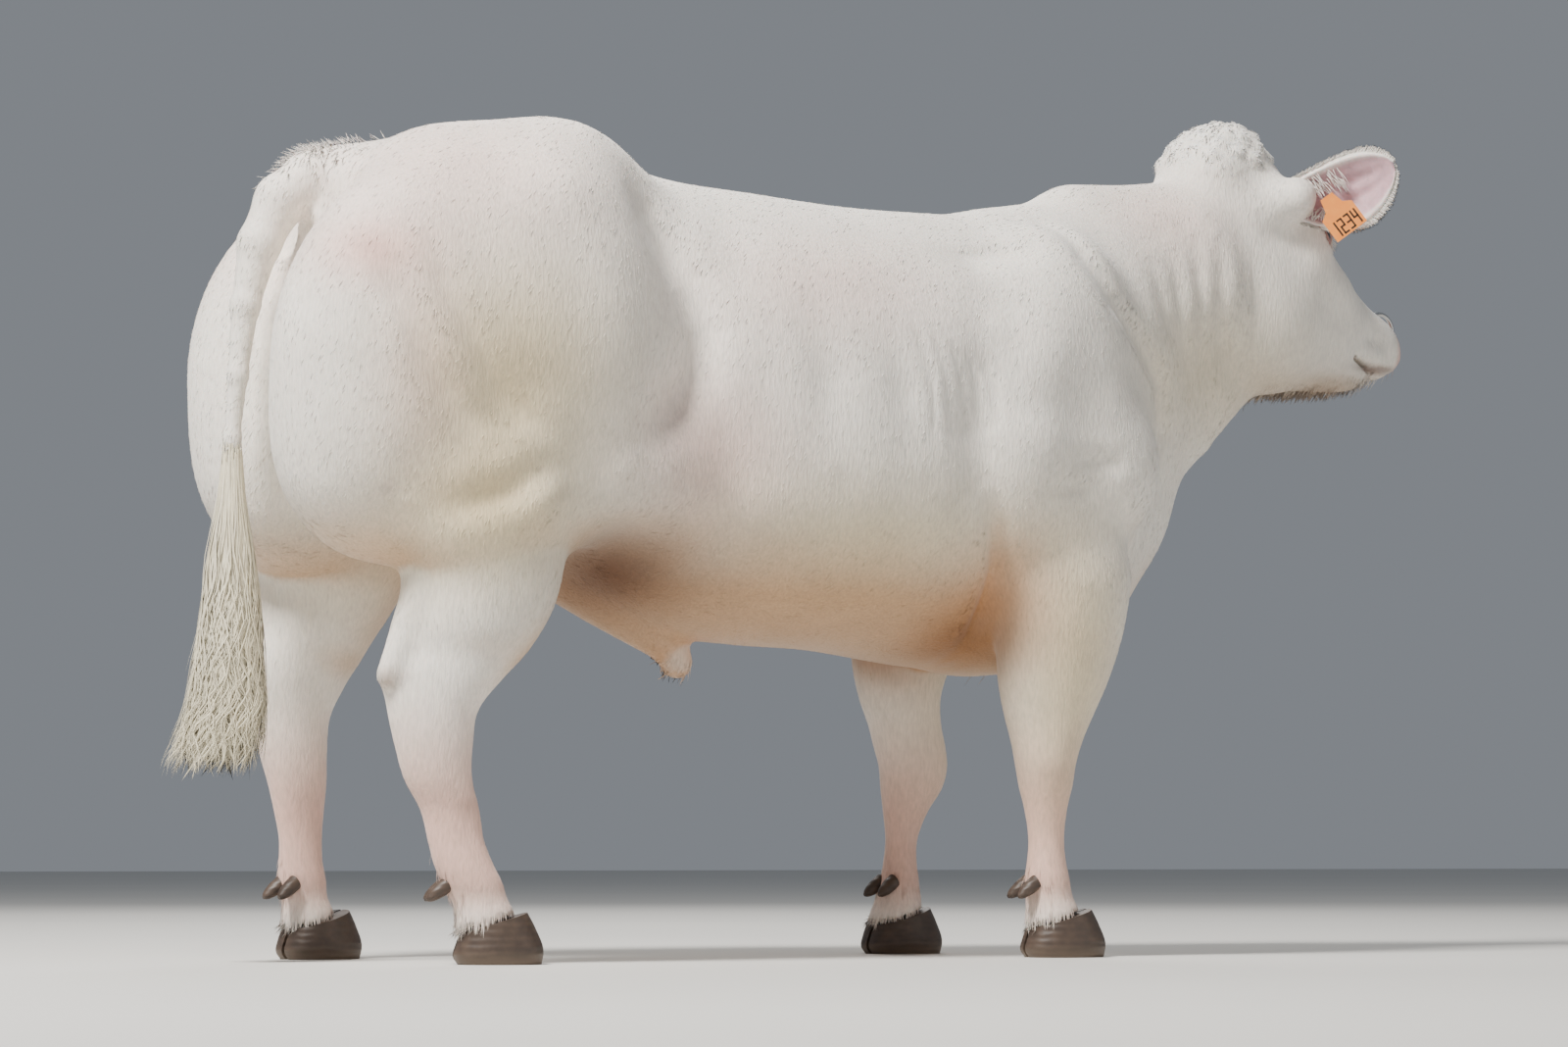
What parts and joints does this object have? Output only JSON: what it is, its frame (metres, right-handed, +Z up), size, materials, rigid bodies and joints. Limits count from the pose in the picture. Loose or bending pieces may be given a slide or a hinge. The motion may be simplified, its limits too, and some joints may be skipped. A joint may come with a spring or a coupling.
{
  "type": "belgian blue cattle",
  "caption": "Life-size standing model of a white, double-muscled young bull with its head raised and turned, tail hanging, ear tags and a nose ring.",
  "frame": {"origin": "on the ground, under the middle of the box round the whole animal", "axes": "+X towards the muzzle, +Y to the animal's left, +Z up"},
  "size_m": [2.121, 0.6402, 1.3153],
  "materials": {
    "hide": "short dense creamy-white coat, skin showing faintly pink",
    "tail_hair": "long wavy cream-white tail hair",
    "horn": "dark keratin of the claws, satin and finely ringed",
    "eye": "wet, near black",
    "tag": "flexible orange ear tag plastic",
    "ring": "worn bright metal"
  },
  "bodies": {
    "root": {"head": "hide", "neck": "hide", "torso": "hide", "hindquarters": "hide", "leg_hind_right": "hide", "leg_hind_left": "hide", "leg_fore_right": "hide", "leg_fore_left": "hide", "claw_hind_right_right": "horn", "dewclaw_hind_right_right": "horn", "claw_hind_right_left": "horn", "dewclaw_hind_right_left": "horn", "claw_hind_left_right": "horn", "dewclaw_hind_left_right": "horn", "claw_hind_left_left": "horn", "dewclaw_hind_left_left": "horn", "claw_fore_right_right": "horn", "dewclaw_fore_right_right": "horn", "claw_fore_right_left": "horn", "dewclaw_fore_right_left": "horn", "claw_fore_left_right": "horn", "dewclaw_fore_left_right": "horn", "claw_fore_left_left": "horn", "dewclaw_fore_left_left": "horn", "ear_right": "hide", "eye_right": "eye", "tag_right": "tag", "ear_left": "hide", "eye_left": "eye", "tag_left": "tag", "nose_ring": "ring", "tail": "hide", "tail_switch": "tail_hair"}
  },
  "joints": []
}
